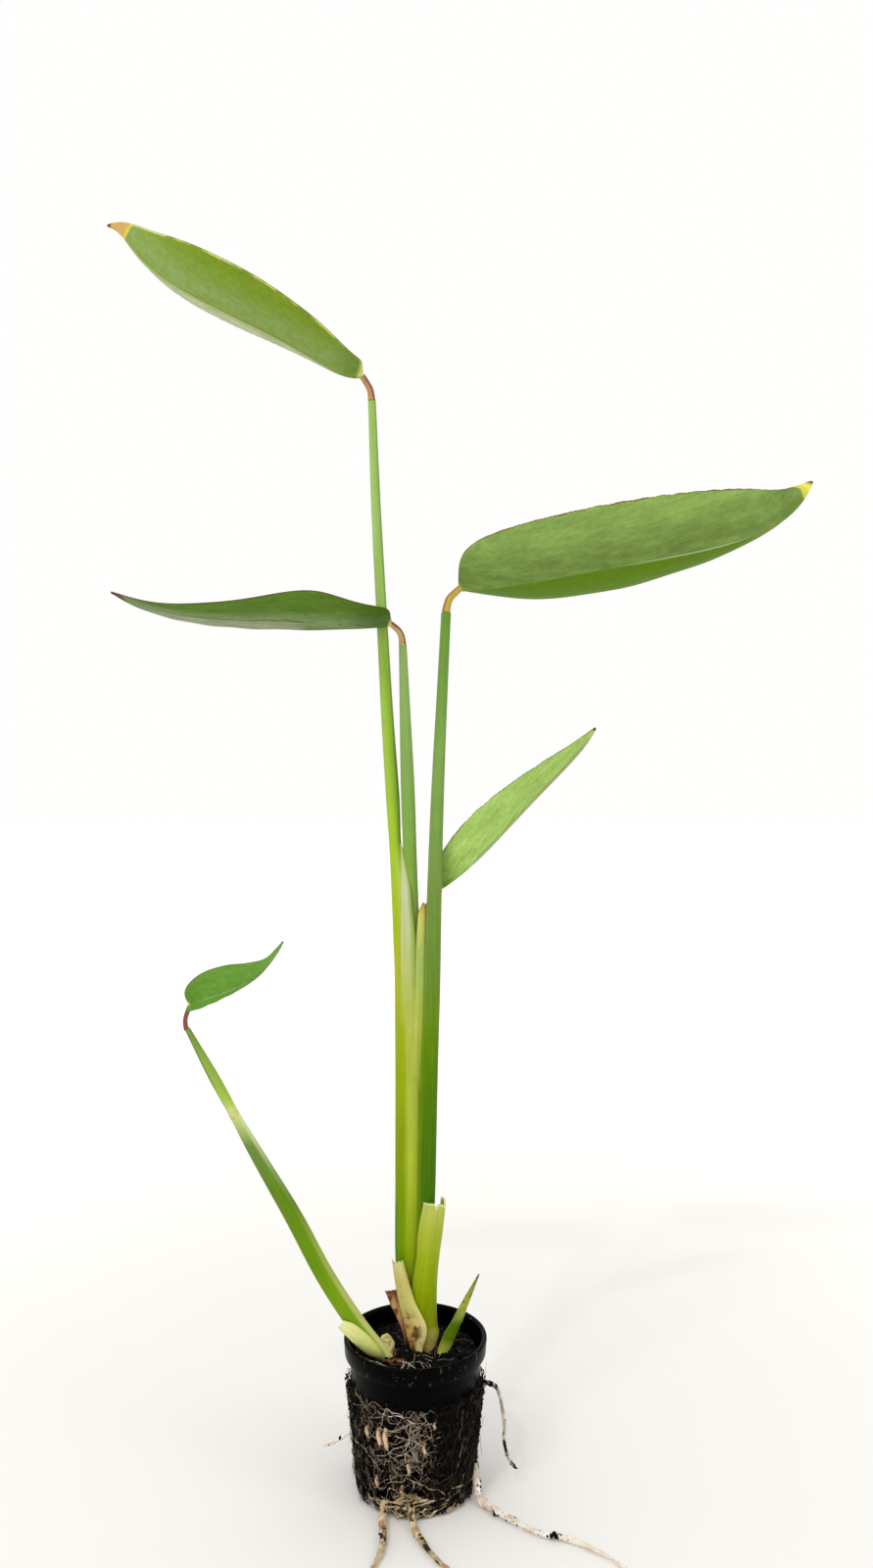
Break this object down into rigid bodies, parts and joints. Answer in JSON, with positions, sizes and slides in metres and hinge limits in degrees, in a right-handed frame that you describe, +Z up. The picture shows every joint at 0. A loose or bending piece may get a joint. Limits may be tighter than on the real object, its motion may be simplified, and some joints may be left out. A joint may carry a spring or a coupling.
{
  "type": "potted water canna",
  "caption": "Young hardy water canna with lance-shaped leaves on long upright stalks, a leaning side shoot and loose roots, growing in a small black net pot.",
  "frame": {"origin": "centre of the underside of the pot", "axes": "+Z up along the pot's axis, +X towards the broad leaf, -Y towards the side that the long roots lie on"},
  "size_m": [0.2458, 0.0778, 0.4454],
  "materials": {
    "pot_plastic": "wet, glossy moulded plastic",
    "soil": "wet, dark and lumpy",
    "root_felt": "fine wet roots with soil between them",
    "root": "smooth and damp",
    "old_root": "dark, dried",
    "leaf": "satin, waxy bloom below",
    "young_leaf": "satin",
    "stalk": "smooth satin",
    "side_stem": "smooth satin",
    "knee": "smooth satin",
    "side_knee": "smooth satin",
    "cut_sheath": "satin, cut and torn at the top",
    "dry_sheath": "dry and papery",
    "brown_scale": "dry and papery",
    "rhizome": "matt",
    "sprout": "satin"
  },
  "bodies": {
    "root": {"pot": "pot_plastic", "soil": "soil", "root_mat": "root_felt", "long_root_right": "root", "root_front_left": "root", "root_front_middle": "root", "side_root_left": "root", "hanging_root": "old_root", "tall_leaf_stalk": "stalk", "tall_leaf_knee": "knee", "tall_leaf_blade": "leaf", "middle_leaf_stalk": "stalk", "middle_leaf_knee": "knee", "middle_leaf_blade": "leaf", "broad_leaf_stalk": "stalk", "broad_leaf_knee": "knee", "broad_leaf_blade": "leaf", "young_leaf_stalk": "stalk", "young_leaf_knee": "knee", "young_leaf_blade": "young_leaf", "side_shoot_stem": "side_stem", "side_leaf_stalk": "side_stem", "side_leaf_knee": "side_knee", "side_leaf_blade": "leaf", "side_shoot_cut_sheath": "cut_sheath", "rhizome_stub": "rhizome", "main_cut_sheath": "cut_sheath", "dry_sheath": "dry_sheath", "brown_scale": "brown_scale", "sprout_leaf": "sprout", "sprout_sheath": "cut_sheath"}
  },
  "joints": []
}
